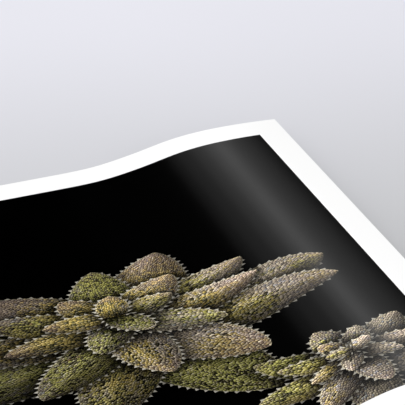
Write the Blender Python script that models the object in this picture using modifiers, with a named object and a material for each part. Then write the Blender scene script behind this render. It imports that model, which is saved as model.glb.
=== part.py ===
"""A photographic print on heavy pearl paper, with a white border round its picture.

The sheet lies flat, apart from its right-hand end, which still holds some of the curl of the roll
that it was stored in: it leaves the surface in a long S-bend, crests, and droops a little at its edge.
The bend is a little steeper on the near side than on the far side.
Metres, +Z up. +X runs along the sheet towards the curled end and +Y towards the picture's top edge.
The origin is on the surface that the print lies on, below the middle of the sheet.
"""

import bmesh
import bpy
from mathutils import Vector

# The cut sheet, before it curled
SHEET_LENGTH = 0.420
SHEET_WIDTH = 0.297
PAPER_THICKNESS = 0.0005
BORDER = 0.0174

# Control points of the bend, as distance from the curled edge and height of the paper's underside,
# first along the far side (+Y), then along the near side, where the paper lifts more steeply.
# The curve runs inside them, so the crest is lower than the highest of them.
BEND = (
    (0.000, 0.01070, 0.01080),
    (0.018, 0.01200, 0.01225),
    (0.040, 0.01220, 0.01250),
    (0.056, 0.01145, 0.01245),
    (0.072, 0.00955, 0.00845),
    (0.088, 0.00570, 0.00310),
    (0.104, 0.00265, 0.00120),
    (0.122, 0.0, 0.0),
    (0.148, 0.0, 0.0),
    (0.174, 0.0, 0.0),
    (0.300, 0.0, 0.0),
    (SHEET_LENGTH, 0.0, 0.0),
)
CURVE_STEPS = 24

# How finely the bent end is divided. The part that lies flat needs no lines across it.
BENT_LENGTH = 0.150
BENT_COLUMNS = 40

PAPER_WHITE = (0.93, 0.93, 0.93, 1.0)
PICTURE_BLACK = (0.012, 0.012, 0.010, 1.0)
PEARL_ROUGHNESS = 0.32


def clear_scene():
    for item in list(bpy.data.objects):
        bpy.data.objects.remove(item, do_unlink=True)


def pearl_finish(name, colour):
    """A satin, slightly glossy paper surface of one colour."""
    finish = bpy.data.materials.new(name)
    finish.use_nodes = True
    shader = finish.node_tree.nodes["Principled BSDF"]
    shader.inputs["Base Color"].default_value = colour
    shader.inputs["Roughness"].default_value = PEARL_ROUGHNESS
    shader.inputs["Metallic"].default_value = 0.0
    return finish


def bend_line(side):
    """Points along one side's smooth bend, from the curled edge inwards, as (distance, height)."""
    line = bpy.data.curves.new("bend", "CURVE")
    line.dimensions = "3D"
    spline = line.splines.new("NURBS")
    spline.points.add(len(BEND) - 1)
    for point, (distance, *heights) in zip(spline.points, BEND):
        point.co = (distance, 0.0, heights[side], 1.0)
    spline.order_u = 4
    spline.use_endpoint_u = True
    spline.resolution_u = CURVE_STEPS
    guide = bpy.data.objects.new("bend", line)
    points = [(vertex.co.x, vertex.co.z) for vertex in guide.to_mesh().vertices]
    guide.to_mesh_clear()
    bpy.data.objects.remove(guide)
    bpy.data.curves.remove(line)
    return points


def paper_to_bend(points, lengths):
    """The place on the bend of each length of paper, counted from the curled edge, in rising order."""
    places = []
    walked = 0.0
    i = 0
    for wanted in lengths:
        while True:
            (x0, z0), (x1, z1) = points[i], points[i + 1]
            step = ((x1 - x0) ** 2 + (z1 - z0) ** 2) ** 0.5
            if walked + step >= wanted or i == len(points) - 2:
                break
            walked += step
            i += 1
        places.append(Vector(points[i]).lerp(Vector(points[i + 1]), (wanted - walked) / step))
    return places


def sheet_columns():
    """Lengths of paper from the curled edge at which the sheet has a row of points across it."""
    bent = [BENT_LENGTH * i / BENT_COLUMNS for i in range(BENT_COLUMNS)]
    bent[min(range(BENT_COLUMNS), key=lambda i: abs(bent[i] - BORDER))] = BORDER
    return bent + [BENT_LENGTH, SHEET_LENGTH - BORDER, SHEET_LENGTH]


def make_sheet(collection):
    """The paper's upper face, rolled out along the bend, with its thickness below it."""
    columns = sheet_columns()
    far_places, near_places = (paper_to_bend(bend_line(side), columns) for side in (0, 1))
    middle = (far_places[0].x + far_places[-1].x) / 2
    half = SHEET_WIDTH / 2
    rows = (-half, BORDER - half, half - BORDER, half)

    shape = bmesh.new()
    bmesh.ops.create_grid(shape, x_segments=len(columns) - 1, y_segments=len(rows) - 1, size=0.5)
    for vertex in shape.verts:
        column = round((0.5 - vertex.co.x) * (len(columns) - 1))
        row = round((vertex.co.y + 0.5) * (len(rows) - 1))
        nearness = 0.5 - rows[row] / SHEET_WIDTH
        distance, height = far_places[column].lerp(near_places[column], nearness)
        vertex.co = (middle - distance, rows[row], height + PAPER_THICKNESS)
    picture_left = middle - far_places[-2].x
    picture_right = middle - far_places[columns.index(BORDER)].x
    for face in shape.faces:
        centre = face.calc_center_median()
        in_picture = picture_left < centre.x < picture_right and abs(centre.y) < half - BORDER
        face.material_index = 0 if in_picture else 1
        face.smooth = True

    # The twist in the bend needs triangles, split here so that the paper's two faces split alike
    bmesh.ops.triangulate(shape, faces=shape.faces)

    mesh = bpy.data.meshes.new("sheet")
    shape.to_mesh(mesh)
    shape.free()
    mesh.materials.append(pearl_finish("printed_picture", PICTURE_BLACK))
    mesh.materials.append(pearl_finish("bare_paper", PAPER_WHITE))
    sheet = bpy.data.objects.new("sheet", mesh)
    collection.objects.link(sheet)

    # The picture is on the upper face alone, so the back and the cut edges take the bare paper
    thickness = sheet.modifiers.new("paper", "SOLIDIFY")
    thickness.thickness = PAPER_THICKNESS
    thickness.offset = -1.0
    thickness.use_even_offset = True
    thickness.material_offset = 1
    thickness.material_offset_rim = 1
    return sheet


clear_scene()
photographic_print = bpy.data.collections.new("photographic_print")
bpy.context.scene.collection.children.link(photographic_print)
make_sheet(photographic_print)
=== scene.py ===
import bisect
import math
import random

import bmesh
import bpy
from mathutils import Matrix, Vector


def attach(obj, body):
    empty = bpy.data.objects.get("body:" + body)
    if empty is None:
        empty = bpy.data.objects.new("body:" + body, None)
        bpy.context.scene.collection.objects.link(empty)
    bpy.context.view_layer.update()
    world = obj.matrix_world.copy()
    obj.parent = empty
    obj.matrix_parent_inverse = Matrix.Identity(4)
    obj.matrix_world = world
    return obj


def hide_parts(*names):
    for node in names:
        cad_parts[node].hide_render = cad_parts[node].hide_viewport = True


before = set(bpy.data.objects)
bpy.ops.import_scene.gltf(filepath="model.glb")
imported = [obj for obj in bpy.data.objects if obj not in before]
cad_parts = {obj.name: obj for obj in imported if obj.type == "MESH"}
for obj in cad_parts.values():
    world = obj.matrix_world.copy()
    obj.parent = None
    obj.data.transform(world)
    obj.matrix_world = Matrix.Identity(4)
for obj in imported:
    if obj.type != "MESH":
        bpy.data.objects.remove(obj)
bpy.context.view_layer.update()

# --------------------------------------------------------------------------------------------------
# The paper: a heavy photo paper with a pearl coating on its face, guillotined from a wide roll. Its
# right-hand end keeps some of the roll's curl: it leaves the table in a long S-bend, crests 12.5 to
# 13 mm up, and droops at its edge. The picture is printed into its face, inside a white border.

SHEET_LENGTH = 0.420
SHEET_WIDTH = 0.297
PAPER_THICKNESS = 0.0005
BORDER = 0.0174
CUT_ROUNDING = 0.00006
PICTURE_DEPTH = 0.00006
PICTURE_FIT = 0.000012

# Control points of the underside's bend: distance from the curled edge, then the height along the
# far side and along the near side, where the paper leaves the table more steeply
BEND = (
    (0.000, 0.01070, 0.01080),
    (0.018, 0.01200, 0.01225),
    (0.040, 0.01220, 0.01250),
    (0.056, 0.01145, 0.01245),
    (0.072, 0.00955, 0.00845),
    (0.088, 0.00570, 0.00310),
    (0.104, 0.00265, 0.00120),
    (0.122, 0.0, 0.0),
    (0.148, 0.0, 0.0),
    (0.174, 0.0, 0.0),
    (0.300, 0.0, 0.0),
    (SHEET_LENGTH, 0.0, 0.0),
)
CURVE_STEPS = 96
SLOPE_REACH = 0.0006

# How finely the paper is divided where it is bent and where it lies flat
BENT_LENGTH = 0.160
BENT_STEP = 0.0012
FLAT_STEP = 0.012
SHARP_EDGE = math.radians(30)


def walk_the_bend(side):
    """Lengths of paper from the curled edge, and where on one side's bend each comes to lie."""
    line = bpy.data.curves.new("bend", "CURVE")
    line.dimensions = "3D"
    spline = line.splines.new("NURBS")
    spline.points.add(len(BEND) - 1)
    for point, (distance, *heights) in zip(spline.points, BEND):
        point.co = (distance, 0.0, heights[side], 1.0)
    spline.order_u = 4
    spline.use_endpoint_u = True
    spline.resolution_u = CURVE_STEPS
    guide = bpy.data.objects.new("bend", line)
    places = [(vertex.co.x, vertex.co.z) for vertex in guide.to_mesh().vertices]
    guide.to_mesh_clear()
    bpy.data.objects.remove(guide)
    bpy.data.curves.remove(line)
    walked = [0.0]
    for (x0, z0), (x1, z1) in zip(places, places[1:]):
        walked.append(walked[-1] + math.hypot(x1 - x0, z1 - z0))
    return walked, places


far_bend, near_bend = walk_the_bend(0), walk_the_bend(1)


def place_on_bend(length, nearness):
    """Distance and height of the underside at a length of paper from the curled edge."""
    found = []
    for walked, places in (far_bend, near_bend):
        i = min(max(bisect.bisect(walked, length), 1), len(walked) - 1)
        share = (length - walked[i - 1]) / (walked[i] - walked[i - 1])
        found.append(Vector(places[i - 1]).lerp(Vector(places[i]), share))
    return found[0].lerp(found[1], nearness)


middle = (place_on_bend(0.0, 0.0).x + place_on_bend(SHEET_LENGTH, 0.0).x) / 2


def rolled(flat):
    """Where a point of the flat sheet comes to lie once the paper has taken its bend."""
    length = SHEET_LENGTH / 2 - flat.x
    nearness = 0.5 - flat.y / SHEET_WIDTH
    distance, height = place_on_bend(length, nearness)
    d0, h0 = place_on_bend(max(length - SLOPE_REACH, 0.0), nearness)
    d1, h1 = place_on_bend(min(length + SLOPE_REACH, SHEET_LENGTH), nearness)
    across = math.hypot(d1 - d0, h1 - h0)
    lean, rise = (h1 - h0) / across, (d1 - d0) / across
    return Vector((middle - distance + lean * flat.z, flat.y, height + rise * flat.z))


def lines_between(low, high, step):
    """Evenly spaced places from low to high, both included, about a step apart."""
    count = max(1, round((high - low) / step))
    return [low + (high - low) * i / count for i in range(count + 1)]


def columns_and_rows(x_end, y_end, extra_x=(), extra_y=()):
    """Lines along and across a flat piece, close together where the paper is bent."""
    bend_start = SHEET_LENGTH / 2 - BENT_LENGTH
    columns = lines_between(-x_end, bend_start, FLAT_STEP)
    columns += lines_between(bend_start, x_end, BENT_STEP)
    rows = lines_between(-y_end, y_end, FLAT_STEP)
    for lines, extra, step in ((columns, extra_x, BENT_STEP), (rows, extra_y, FLAT_STEP)):
        near = [a for a in lines[1:-1] if all(abs(a - b) > step / 4 for b in extra)]
        lines[:] = sorted({*near, lines[0], lines[-1], *extra})
    return columns, rows


def layered_slab(name, columns, rows, top, bottom, side_material, bottom_material):
    """A closed flat piece with the heights that top and bottom give, then rolled along the bend."""
    shape = bmesh.new()
    layers = []
    for height in (bottom, top):
        layers.append([[shape.verts.new((x, y, height(x, y))) for y in rows] for x in columns])
    faces = {}
    for layer, order in zip(layers, (-1, 1)):
        for i in range(len(columns) - 1):
            for j in range(len(rows) - 1):
                corners = [layer[i][j], layer[i + 1][j], layer[i + 1][j + 1], layer[i][j + 1]]
                faces[shape.faces.new(corners[::order])] = "top" if order == 1 else "bottom"
    last_i, last_j = len(columns) - 1, len(rows) - 1
    rim = [(i, 0) for i in range(last_i)] + [(last_i, j) for j in range(last_j)]
    rim += [(i, last_j) for i in range(last_i, 0, -1)] + [(0, j) for j in range(last_j, 0, -1)]
    for (i0, j0), (i1, j1) in zip(rim, rim[1:] + rim[:1]):
        corners = [layers[0][i0][j0], layers[0][i1][j1], layers[1][i1][j1], layers[1][i0][j0]]
        faces[shape.faces.new(corners)] = "side"
    flat_map = shape.loops.layers.uv.new("flat")
    for face, side in faces.items():
        xs, ys = ([vertex.co[axis] for vertex in face.verts] for axis in (0, 1))
        narrowest = min(max(xs) - min(xs), max(ys) - min(ys))
        if side == "side" or narrowest < 2 * CUT_ROUNDING:
            face.material_index = side_material
        elif side == "bottom":
            face.material_index = bottom_material
        face.smooth = True
        for loop in face.loops:
            loop[flat_map].uv = loop.vert.co.xy
    for vertex in shape.verts:
        vertex.co = rolled(vertex.co)
    mesh = bpy.data.meshes.new(name)
    shape.to_mesh(mesh)
    shape.free()
    mesh.set_sharp_from_angle(angle=SHARP_EDGE)
    piece = bpy.data.objects.new(name, mesh)
    bpy.context.scene.collection.objects.link(piece)
    return piece


half_length, half_width = SHEET_LENGTH / 2, SHEET_WIDTH / 2
picture_x, picture_y = half_length - BORDER, half_width - BORDER


def at_cut_edge(x, y):
    return abs(x) > half_length - CUT_ROUNDING / 2 or abs(y) > half_width - CUT_ROUNDING / 2


def paper_top(x, y):
    if at_cut_edge(x, y):
        return PAPER_THICKNESS - CUT_ROUNDING
    under_picture = abs(x) < picture_x - PICTURE_FIT / 2 and abs(y) < picture_y - PICTURE_FIT / 2
    return PAPER_THICKNESS - PICTURE_DEPTH if under_picture else PAPER_THICKNESS


def paper_bottom(x, y):
    return CUT_ROUNDING / 2 if at_cut_edge(x, y) else 0.0


def both_ways(*distances):
    return [sign * distance for distance in distances for sign in (-1, 1)]


paper = layered_slab(
    "print_paper",
    *columns_and_rows(
        half_length,
        half_width,
        both_ways(half_length - CUT_ROUNDING, picture_x, picture_x - PICTURE_FIT),
        both_ways(half_width - CUT_ROUNDING, picture_y, picture_y - PICTURE_FIT),
    ),
    paper_top,
    paper_bottom,
    side_material=1,
    bottom_material=2,
)


class Tone:
    """One value in a finish. Sums on tones add the Math nodes that work them out."""

    def __init__(self, socket):
        self.socket = socket

    def node(self, kind, settings=None, sockets=None, output=0):
        """Adds a node: its settings first, then the values or links of its sockets."""
        made = self.socket.id_data.nodes.new(kind)
        for setting, value in (settings or {}).items():
            setattr(made, setting, value)
        fill_sockets(made, sockets or {})
        return Tone(made.outputs[output])

    def outputs(self):
        """Every output of the node that this value comes from."""
        return [Tone(socket) for socket in self.socket.node.outputs]

    def sum(self, operation, *others):
        values = dict(enumerate((self, *others)))
        return self.node("ShaderNodeMath", {"operation": operation}, values)

    def reversed_sum(self, operation, other):
        return self.node("ShaderNodeMath", {"operation": operation}, {0: other, 1: self})

    def __add__(self, other):
        return self.sum("ADD", other)

    def __sub__(self, other):
        return self.sum("SUBTRACT", other)

    def __mul__(self, other):
        return self.sum("MULTIPLY", other)

    def __truediv__(self, other):
        return self.sum("DIVIDE", other)

    def __pow__(self, other):
        return self.sum("POWER", other)

    def __gt__(self, other):
        return self.sum("GREATER_THAN", other)

    def __lt__(self, other):
        return self.sum("LESS_THAN", other)

    def __abs__(self):
        return self.sum("ABSOLUTE")

    def __rsub__(self, other):
        return self.reversed_sum("SUBTRACT", other)

    def __rtruediv__(self, other):
        return self.reversed_sum("DIVIDE", other)

    __radd__ = __add__
    __rmul__ = __mul__

    def within(self, low, high):
        """0 at low and below, 1 at high and above, eased between them."""
        limits = {"Value": self, "From Min": low, "From Max": high}
        return self.node("ShaderNodeMapRange", {"interpolation_type": "SMOOTHSTEP"}, limits)

    def under(self, mask, above):
        """This value, with another laid over it where the mask is 1."""
        sides = {"Factor_Float": mask, "A_Float": self, "B_Float": above}
        return self.node("ShaderNodeMix", {"data_type": "FLOAT"}, sides, 0)


def fill_sockets(node, sockets):
    """Links each named or numbered socket to its tone, or gives it its plain value."""
    named = {socket.identifier: socket for socket in node.inputs}
    for key, value in sockets.items():
        socket = node.inputs[key] if isinstance(key, int) else named.get(key) or node.inputs[key]
        if isinstance(value, Tone):
            node.id_data.links.new(value.socket, socket)
        else:
            socket.default_value = value


def start_finish(name):
    """A new finish: the material, its shader, and a tone to build its nodes from."""
    finish = bpy.data.materials.new(name)
    finish.use_nodes = True
    shader = finish.node_tree.nodes["Principled BSDF"]
    return finish, shader, Tone(shader.outputs[0])


def stacked_colours(mask, below, above):
    """One colour over another where the mask is 1."""
    sides = {"Factor_Float": mask, "A_Color": below, "B_Color": above}
    return mask.node("ShaderNodeMix", {"data_type": "RGBA"}, sides, 2)


def place_on_sheet(start):
    """The place on the flat sheet, in metres from its middle."""
    return start.node("ShaderNodeUVMap", {"uv_map": "flat"})


def soft_patches(place, per_metre, detail):
    """Soft-edged patches over the flat sheet."""
    sockets = {"Vector": place, "Scale": per_metre, "Detail": detail}
    return place.node("ShaderNodeTexNoise", {"noise_dimensions": "2D"}, sockets)


def bumps(height, strength, depth):
    sockets = {"Strength": strength, "Distance": depth, "Height": height}
    return height.node("ShaderNodeBump", {}, sockets)


PEARL_ROUGHNESS = 0.22
ROUGHNESS_DRIFT = 0.03
CLOUDS_PER_METRE = 30.0
GRAIN_SIZE = 0.0006
GRAIN_STRENGTH = 0.12
GRAIN_DEPTH = 0.00002


def pearl_gloss(start, cloudiness):
    """The coating's gloss: a little cloudy, and broken up by very fine, soft pebbling."""
    roughness = PEARL_ROUGHNESS + ROUGHNESS_DRIFT * (cloudiness - 0.5)
    grain = soft_patches(place_on_sheet(start), 1 / GRAIN_SIZE, 1.0)
    return {"Roughness": roughness, "Normal": bumps(grain, GRAIN_STRENGTH, GRAIN_DEPTH)}


COATING_WHITE = (0.952, 0.952, 0.952, 1.0)
COATING_BRIGHTER = (0.960, 0.960, 0.956, 1.0)

coated_face, shader, start = start_finish("coated_face")
cloudiness = soft_patches(place_on_sheet(start), CLOUDS_PER_METRE, 2.0)
white = stacked_colours(cloudiness, COATING_WHITE, COATING_BRIGHTER)
fill_sockets(shader, {"Base Color": white, **pearl_gloss(start, cloudiness)})

# The guillotine's cut leaves the paper's raw core along every side
OBJECT_PLACE = 3
FIBRES_PER_METRE = 6000.0
FUZZ_DEPTH = 0.00005
CORE_CREAM = (0.80, 0.78, 0.74, 1.0)
CORE_WHITE = (0.90, 0.89, 0.87, 1.0)

cut_core, shader, start = start_finish("cut_core")
inside = start.node("ShaderNodeTexCoord", output=OBJECT_PLACE)
fibre_sockets = {"Vector": inside, "Scale": FIBRES_PER_METRE, "Detail": 3.0, "Roughness": 0.6}
fibres = start.node("ShaderNodeTexNoise", {}, fibre_sockets)
core = stacked_colours(fibres, CORE_CREAM, CORE_WHITE)
fuzz = bumps(fibres, 0.5, FUZZ_DEPTH)
fill_sockets(shader, {"Base Color": core, "Roughness": 0.85, "Normal": fuzz})

# The back has no coating, so the pulp's tooth shows in it
PULP_PER_METRE = 500.0
PULP_DEPTH = 0.00004
BACK_BLUISH = (0.83, 0.835, 0.84, 1.0)
BACK_WHITE = (0.88, 0.88, 0.88, 1.0)

plain_back, shader, start = start_finish("plain_back")
pulp = soft_patches(place_on_sheet(start), PULP_PER_METRE, 4.0)
tooth = bumps(pulp, 0.3, PULP_DEPTH)
back = stacked_colours(pulp, BACK_BLUISH, BACK_WHITE)
fill_sockets(shader, {"Base Color": back, "Roughness": 0.62, "Normal": tooth})

for finish in (coated_face, cut_core, plain_back):
    paper.data.materials.append(finish)
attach(paper, "root")
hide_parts("sheet")

# --------------------------------------------------------------------------------------------------
# The picture: pigment inks sunk into the same pearl coating, so its face is level with the border
# and shines as the border does. It shows three rosettes of toothed, scaly succulent leaves, lit
# from the upper left against a black that is kept clear at the top.

ink_columns, ink_rows = columns_and_rows(picture_x - PICTURE_FIT, picture_y - PICTURE_FIT)
picture = layered_slab(
    "printed_picture",
    ink_columns,
    ink_rows,
    lambda x, y: PAPER_THICKNESS,
    lambda x, y: PAPER_THICKNESS - PICTURE_DEPTH + PICTURE_FIT / 2,
    side_material=0,
    bottom_material=0,
)

# The whole printed face gets nearly the whole of the map that its colours are kept in
MAP_EDGE = 0.003
MAP_UNDERSIDE = 0.012
mesh = picture.data
flat_map = mesh.uv_layers["flat"].data
bake_map = mesh.uv_layers.new(name="OFBake").data
top_faces = (len(ink_columns) - 1) * (len(ink_rows) - 1)
for polygon in mesh.polygons:
    on_top = top_faces <= polygon.index < 2 * top_faces
    low, high = (MAP_UNDERSIDE + MAP_EDGE, 1 - MAP_EDGE) if on_top else (MAP_EDGE, MAP_UNDERSIDE)
    for loop in polygon.loop_indices:
        x, y = flat_map[loop].uv
        share_x, share_y = (x / picture_x + 1) / 2, (y / picture_y + 1) / 2
        bake_map[loop].uv = (MAP_EDGE + share_x * (1 - 2 * MAP_EDGE), low + share_y * (high - low))

printed_inks, shader, start = start_finish("printed_inks")


def triple(x, y, z):
    """Three values as one vector."""
    tone = next(value for value in (x, y, z) if isinstance(value, Tone))
    return tone.node("ShaderNodeCombineXYZ", {}, {0: x, 1: y, 2: z})


def parts_of(three):
    """A vector's three values."""
    return three.node("ShaderNodeSeparateXYZ", {}, {"Vector": three}).outputs()


def scaled(start, three, strength):
    """A vector or a colour, made stronger or weaker."""
    sockets = {0: three, "Scale": strength}
    return start.node("ShaderNodeVectorMath", {"operation": "SCALE"}, sockets)


def stacked_triples(mask, below, above):
    """One vector over another where the mask is 1."""
    sides = {"Factor_Float": mask, "A_Vector": below, "B_Vector": above}
    return mask.node("ShaderNodeMix", {"data_type": "VECTOR"}, sides, 1)


# One leaf laid over whatever is there already, with its soft shadow on it. Three facts are kept of
# the uppermost leaf: where on it (metres along, metres across, half-width there), how it is turned
# (share of its length, how far its tip and its side face the light), and how much daylight it gets.
ROOT_WIDTH = 0.62
SWELL = 1.5
TIP_BLUNTNESS = 0.72
TOOTH_PITCH = 0.0054
TOOTH_HEIGHT = 0.0023
SHADOW_START = -0.002
SHADOW_REACH = 0.015
SHADOW_DEPTH = 0.86
NEXT_TO_NOTHING = 1e-9
LEAF_SOCKETS = {
    "Where": "NodeSocketVector",
    "Turn": "NodeSocketVector",
    "Daylight": "NodeSocketFloat",
}
LEAF_SHAPE = (
    "Root X",
    "Root Y",
    "Tilt",
    "Forward X",
    "Forward Y",
    "Length",
    "Width",
    "Bow",
    "Tip Light",
    "Side Light",
    "Own Daylight",
)
leaf = bpy.data.node_groups.new("leaf_over_the_rest", "ShaderNodeTree")
for name, kind in LEAF_SOCKETS.items():
    leaf.interface.new_socket(name, in_out="INPUT", socket_type=kind)
    leaf.interface.new_socket(name, in_out="OUTPUT", socket_type=kind)
leaf.interface.new_socket("Place", in_out="INPUT", socket_type="NodeSocketVector")
for name in LEAF_SHAPE:
    leaf.interface.new_socket(name, in_out="INPUT", socket_type="NodeSocketFloat")
inlet = leaf.nodes.new("NodeGroupInput")
given = {socket.name: Tone(socket) for socket in inlet.outputs if socket.name}
x, y, _ = parts_of(given["Place"])
# Each leaf waits for the one below it, so that the renderer never holds the values of all of them
wait = given["Daylight"] * NEXT_TO_NOTHING
east = x + wait - given["Root X"]
up = (y + wait - given["Root Y"]) / given["Tilt"]
along = east * given["Forward X"] + up * given["Forward Y"]
across = up * given["Forward X"] - east * given["Forward Y"] - along * along * given["Bow"]
share = along / given["Length"]
taper = (1 - share).sum("MAXIMUM", 0.0) ** TIP_BLUNTNESS
half = taper * (share * SWELL + ROOT_WIDTH) * given["Width"]
inset = half - abs(across)
saw = ((along * (1 / TOOTH_PITCH)).sum("FRACT") * 2 - 1).sum("MAXIMUM", 0.0)
tooth = saw * TOOTH_HEIGHT
here = (inset + tooth * (share < 0.96) > 0.0) * (share > -0.05)
closeness = 1 - (inset * -1).within(SHADOW_START, SHADOW_REACH)
shadow = closeness * SHADOW_DEPTH * (share > -0.1) * (share < 1.02)
outlet = leaf.nodes.new("NodeGroupOutput")
turn = triple(share, given["Tip Light"], given["Side Light"])
results = {
    "Where": stacked_triples(here, given["Where"], triple(along, across, half)),
    "Turn": stacked_triples(here, given["Turn"], turn),
    "Daylight": (given["Daylight"] * (1 - shadow)).under(here, given["Own Daylight"]),
}
fill_sockets(outlet, results)

# Each rosette opens by the golden angle, from its outermost leaves to its bud, farthest plant first
GOLDEN_ANGLE = math.radians(137.508)
ANGLE_SLIP = 0.12
SHORTENING = 0.78
LENGTH_SPREAD = (0.90, 1.04)
NARROWING = 0.66
WIDTH_SPREAD = (0.92, 1.08)
MOST_BOW = 1.3
LIGHT_SIDE = Vector((-0.55, 0.83))
ROSETTES = (
    # centre x, y, longest leaf, half-width, tilt of the plant, rise of the bud, leaves, first angle
    (-0.110, -0.066, 0.092, 0.0200, 0.60, 0.015, 15, 1.10),
    (0.050, -0.034, 0.134, 0.0345, 0.62, 0.027, 25, 0.35),
    (0.146, -0.106, 0.064, 0.0165, 0.66, 0.013, 17, 2.30),
)
draw = random.Random(11)
place = place_on_sheet(start)
black_ground = scaled(start, place, 0.0)
kept = [black_ground, black_ground, parts_of(black_ground)[0]]
for root_x, root_y, longest, widest, tilt, rise, count, first_angle in ROSETTES:
    for i in range(count):
        inward = i / (count - 1)
        angle = first_angle + i * GOLDEN_ANGLE + draw.uniform(-ANGLE_SLIP, ANGLE_SLIP)
        forward = Vector((math.cos(angle), math.sin(angle)))
        shape = {
            "Root X": root_x,
            "Root Y": root_y + rise * inward,
            "Tilt": tilt,
            "Forward X": forward.x,
            "Forward Y": forward.y,
            "Length": longest * (1 - SHORTENING * inward**1.2) * draw.uniform(*LENGTH_SPREAD),
            "Width": widest * (1 - NARROWING * inward) * draw.uniform(*WIDTH_SPREAD),
            "Bow": draw.uniform(-MOST_BOW, MOST_BOW),
            "Tip Light": forward.dot(LIGHT_SIDE),
            "Side Light": forward.orthogonal().dot(LIGHT_SIDE),
            "Own Daylight": 0.55 + 0.45 * inward,
        }
        sockets = {**dict(zip(LEAF_SOCKETS, kept)), "Place": place, **shape}
        kept = start.node("ShaderNodeGroup", {"node_tree": leaf}, sockets).outputs()

along, across, half = parts_of(kept[0])
share, tip_light, side_light = parts_of(kept[1])
daylight = kept[2]
own_number = (tip_light * 7.7 + side_light * 3.1).sum("FRACT")
inset = half - abs(across)
sideways = across / (half + 0.0005)
light_way = triple(tip_light, side_light, 0.0)


def pebbles(length, width, randomness):
    """Scales in rows along the leaf: gaps, distances, relief to the light, and two chances."""
    where = triple(along * (1 / length) + own_number * 37.0, across * (1 / width), 0.0)
    settings = {"voronoi_dimensions": "2D"}
    sockets = {"Vector": where, "Scale": 1.0, "Randomness": randomness}
    gap = start.node("ShaderNodeTexVoronoi", {**settings, "feature": "DISTANCE_TO_EDGE"}, sockets)
    distance, colour, centre = start.node("ShaderNodeTexVoronoi", settings, sockets).outputs()[:3]
    offset = start.node("ShaderNodeVectorMath", {"operation": "SUBTRACT"}, {0: where, 1: centre})
    sides = {0: offset, 1: light_way}
    relief = start.node("ShaderNodeVectorMath", {"operation": "DOT_PRODUCT"}, sides, 1)
    chances = start.node("ShaderNodeSeparateColor", {}, {"Color": colour}).outputs()[:2]
    return gap, distance, relief, *chances


SCALE_SPACING = (0.0022, 0.0013)
FLECK_SPACING = (0.0056, 0.0030)
BLOOM_PER_METRE = 15.0

scale_gap, _, scale_relief, chance, chance_too = pebbles(*SCALE_SPACING, 0.85)
_, fleck_distance, _, fleck_chance, fleck_size = pebbles(*FLECK_SPACING, 0.95)
patch_place = triple(along * 30.0 + own_number * 11.0, across * 55.0, own_number * 5.0)
patches = start.node(
    "ShaderNodeTexNoise", {}, {"Vector": patch_place, "Scale": 1.0, "Detail": 3.0, "Roughness": 0.6}
)
bloom = soft_patches(place, BLOOM_PER_METRE, 2.0)

# The skin: dark olive scales, some of them rusty, with yellow-green or mustard flecks, greyed in
# places and towards the curled end, blushing at the tip, and paler where it glints and at its edge
DARK_OLIVE = (0.016, 0.015, 0.004, 1.0)
OLIVE = (0.115, 0.105, 0.030, 1.0)
YELLOW_GREEN = (0.37, 0.36, 0.085, 1.0)
MUSTARD = (0.38, 0.285, 0.065, 1.0)
RUST_BROWN = (0.22, 0.115, 0.040, 1.0)
LILAC_GREY = (0.35, 0.285, 0.245, 1.0)
SLATE_BLUE = (0.20, 0.21, 0.29, 1.0)
DUSTY_ROSE = (0.36, 0.235, 0.20, 1.0)
PALE_MARGIN = (0.46, 0.41, 0.28, 1.0)
TOOTH_WHITE = (0.66, 0.62, 0.53, 1.0)
RICH_BLACK = (0.0002, 0.0002, 0.0002, 1.0)

skin = stacked_colours(chance.within(0.1, 0.9), DARK_OLIVE, OLIVE)
skin = stacked_colours((chance_too - patches * 0.5).within(0.42, 0.56) * 0.7, skin, RUST_BROWN)
fleck_colour = stacked_colours((own_number + patches).within(0.65, 1.15), YELLOW_GREEN, MUSTARD)
flecks = (0.26 + fleck_size * 0.32 - fleck_distance).within(0.0, 0.16)
flecks = flecks * (fleck_chance + patches > 0.95)
small_flecks = (chance_too * 0.55 + patches).within(0.74, 0.80)
skin = stacked_colours(flecks.sum("MAXIMUM", small_flecks) * 0.92, skin, fleck_colour)
greyer_end = parts_of(place)[0].within(0.085, 0.150) * 0.20
greyness = bloom + chance * 0.22 + abs(sideways) * 0.12 + own_number * 0.06 + greyer_end
greyed = greyness.within(0.68, 0.88) * 0.8
grey = stacked_colours(chance_too > 0.86, LILAC_GREY, SLATE_BLUE)
skin = stacked_colours(greyed, skin, grey)
blush = (share + own_number * 0.35 + patches * 0.25).within(1.00, 1.35) * 0.42
skin = stacked_colours(blush, skin, DUSTY_ROSE)
glint = scale_relief.within(0.10, 0.42) * scale_gap.within(0.02, 0.12) * (0.22 + 0.5 * chance)
skin = stacked_colours(glint, skin, PALE_MARGIN)
skin = stacked_colours((1 - inset.within(0.0004, 0.0012)) * 0.7, skin, PALE_MARGIN)

# A leaf is folded along its midrib, so one half faces the light and the other turns from it
ribs = (sideways * 21.0 + patches * 3.0).sum("SINE") * 0.5 + 0.5
fold = (sideways * 7.0).sum("MINIMUM", 1.0).sum("MAXIMUM", -1.0)
hollow = 0.78 + side_light * (fold * 0.26 + sideways * 0.40) + 0.24 * tip_light
rounded = 1.12 - 0.42 * (sideways * sideways)
root_shade = share.within(0.0, 0.55) * 0.86 + 0.14
beads = (0.85 + scale_relief * 1.3) * (0.16 + 0.84 * scale_gap.within(0.0, 0.22))
light = daylight * hollow * rounded * root_shade * beads * (0.72 + 0.34 * ribs)
light = light * (0.50 + 0.50 * abs(sideways).within(0.0, 0.07)) * (0.84 + 0.34 * own_number)

# The light falls off away from the lower right, sooner on the skin than on the teeth
SPOT_CENTRE = (0.152, -0.055, 0.0)
SKIN_SPOT = (0.05, 0.19)
TOOTH_SPOT = (0.08, 0.28)
EXPOSURE = 2.0

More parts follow.
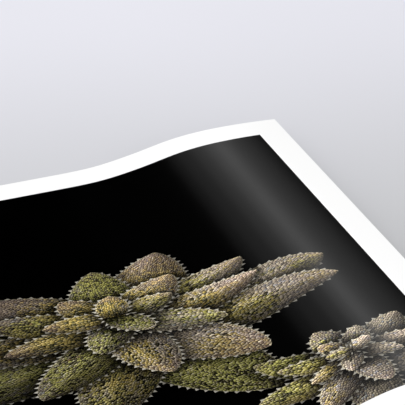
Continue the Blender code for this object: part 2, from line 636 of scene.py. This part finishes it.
spot_ends = {0: place, 1: SPOT_CENTRE}
spot_offset = place.node("ShaderNodeVectorMath", {"operation": "DISTANCE"}, spot_ends, 1)
light = light * (1.42 - 1.04 * spot_offset.within(*SKIN_SPOT))
lit_skin = scaled(start, skin, light * EXPOSURE)
tooth_light = (0.22 + 0.78 * daylight) * (0.68 + 0.32 * (side_light * fold))
tooth_light = tooth_light * (1 - 0.60 * spot_offset.within(*TOOTH_SPOT))
lit_tooth = scaled(start, TOOTH_WHITE[:3], tooth_light)
lit_skin = stacked_colours(inset < 0.0, lit_skin, lit_tooth)
print_colour = stacked_colours(daylight > 0.001, RICH_BLACK, lit_skin)
ink_lay = soft_patches(place, CLOUDS_PER_METRE, 2.0)
fill_sockets(shader, {"Base Color": print_colour, **pearl_gloss(start, ink_lay)})
picture.data.materials.append(printed_inks)
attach(picture, "root")
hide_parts("sheet")

# --------------------------------------------------------------------------------------------------
# The studio: a pale tabletop that runs off on every side, its colour carrying painted shade and
# light falloff, darker towards the near side and the print, an even white surround, one big
# softbox high on the left, and a graded strip lamp just above the curled end that only glosses it.

FLOOR_REACH = 6.0
FLOOR_DROP = 0.0001
# Painted shade and light: the tabletop is greyer towards the near side, where the print stands, and
# paler and cooler beyond it
PAINTED_FALLOFF_WAY = math.radians(15)
PAINTED_FALLOFF_REACH = (-0.05, 0.42)
NEAR_PAINTED_SHADE = (0.475, 0.479, 0.487, 1.0)
FAR_COOL_PAINTED_LIGHT = (0.722, 0.723, 0.783, 1.0)

floor_mesh = bpy.data.meshes.new("tabletop")
corners = [
    (x * FLOOR_REACH, y * FLOOR_REACH, -FLOOR_DROP)
    for x, y in ((-1, -1), (1, -1), (1, 1), (-1, 1))
]
floor_mesh.from_pydata(corners, [], [(0, 1, 2, 3)])
floor = bpy.data.objects.new("tabletop", floor_mesh)
bpy.context.scene.collection.objects.link(floor)
pale_top_painted_shade, shader, start = start_finish("pale_top_painted_shade")
ground = start.node("ShaderNodeNewGeometry")
ground_x, ground_y, _ = parts_of(ground)
# Painted shade: the tabletop's colour darkens towards the near side, standing in for light falloff
# and shade near the print
away = ground_x * math.sin(PAINTED_FALLOFF_WAY) + ground_y * math.cos(PAINTED_FALLOFF_WAY)
painted_shade_tint = stacked_colours(away.within(*PAINTED_FALLOFF_REACH), NEAR_PAINTED_SHADE, FAR_COOL_PAINTED_LIGHT)
fill_sockets(shader, {"Base Color": painted_shade_tint, "Roughness": 0.7, "Specular IOR Level": 0.2})
floor.data.materials.append(pale_top_painted_shade)

SURROUND_WHITE = (1.0, 1.0, 1.0, 1.0)
SURROUND_GLOW = 0.96

surround = bpy.data.worlds.new("white_surround")
bpy.context.scene.world = surround
surround.use_nodes = True
sky = surround.node_tree.nodes["Background"]
fill_sockets(sky, {"Color": SURROUND_WHITE, "Strength": SURROUND_GLOW})
surround.cycles_visibility.glossy = False


def lamp(name, width, length, glow, place, back_of_lamp, length_side):
    """A flat lamp that shines away from back_of_lamp, its long side along length_side."""
    light = bpy.data.lights.new(name, "AREA")
    light.shape = "RECTANGLE"
    light.size, light.size_y = length, width
    light.energy = glow * math.pi * width * length
    out = bpy.data.objects.new(name, light)
    z = Vector(back_of_lamp).normalized()
    x = Vector(length_side).normalized()
    out.matrix_world = Matrix.Translation(place) @ Matrix((x, z.cross(x), z)).transposed().to_4x4()
    out.visible_camera = False
    bpy.context.scene.collection.objects.link(out)
    return out


SOFTBOX_SIDE = 1.2
SOFTBOX_GLOW = 1.5
SOFTBOX_PLACE = Vector((-0.55, 0.35, 1.5))
SOFTBOX_WAY = Vector((0.35, 0.55, 0.0))
softbox = lamp(
    "softbox", SOFTBOX_SIDE, SOFTBOX_SIDE, SOFTBOX_GLOW, SOFTBOX_PLACE, SOFTBOX_PLACE, SOFTBOX_WAY
)
softbox.visible_glossy = False

# The strip lamp is graded: panels of growing brightness are nested over its bright middle line. It
# comes a little lower and glows more towards the near side, where the bend would thin its gloss.
STRIP_TILT = math.radians(20)
STRIP_LENGTH = 2.4
STRIP_MIDDLE = Vector((0.2051, 0.2, 0.0786))
STRIP_WAY = Vector((0.0275, 1.0, 0.044)).normalized()
NEAR_GLOW = 1.25
FAR_LOSS = 0.25
LOSS_REACH = (-0.15, 0.30)
PANEL_STEP = 0.0096
PANEL_GAP = 0.0002
PANELS = (  # steps from the middle line to its left and right side, glow
    (-7.5, 4.5, 0.094),
    (-6.5, 1.5, 0.086),
    (-4.5, 1.5, 0.144),
    (-2.5, 1.5, 0.245),
    (-0.5, 6.5, 0.238),
    (-0.5, 0.5, 0.302),
)
strip_back = Vector((math.cos(STRIP_TILT), 0.0, math.sin(STRIP_TILT))).cross(STRIP_WAY).normalized()
strip_across = STRIP_WAY.cross(strip_back)
for i, (left, right, glow) in enumerate(PANELS):
    spot = STRIP_MIDDLE + strip_across * (left + right) / 2 * PANEL_STEP
    spot += strip_back * i * PANEL_GAP
    width = (right - left) * PANEL_STEP
    panel = lamp(f"strip_lamp_{i}", width, STRIP_LENGTH, glow, spot, strip_back, STRIP_WAY)
    panel.visible_diffuse = False
    panel.data.use_nodes = True
    lit = panel.data.node_tree.nodes["Emission"]
    _, toward_far_side, _ = parts_of(Tone(lit.outputs[0]).node("ShaderNodeNewGeometry"))
    strength = NEAR_GLOW - FAR_LOSS * toward_far_side.within(*LOSS_REACH)
    fill_sockets(lit, {"Strength": strength})

# --------------------------------------------------------------------------------------------------
# The photographer's camera: a long lens that looks down at the print from its near left, at about
# 30 degrees, with all of it in focus.

SENSOR_WIDTH = 36.0
LENS_LENGTH = 152.33
CAMERA_PLACE = (-0.17894, -0.71677, 0.50190)
LOOKING_WAY = Vector((0.31650, 0.80454, -0.50254))

eye = bpy.data.cameras.new("camera")
eye.sensor_width = SENSOR_WIDTH
eye.lens = LENS_LENGTH
camera = bpy.data.objects.new("camera", eye)
camera.location = CAMERA_PLACE
camera.rotation_euler = LOOKING_WAY.to_track_quat("-Z", "Y").to_euler()
bpy.context.scene.collection.objects.link(camera)
bpy.context.scene.camera = camera
bpy.context.scene.view_settings.view_transform = "Standard"
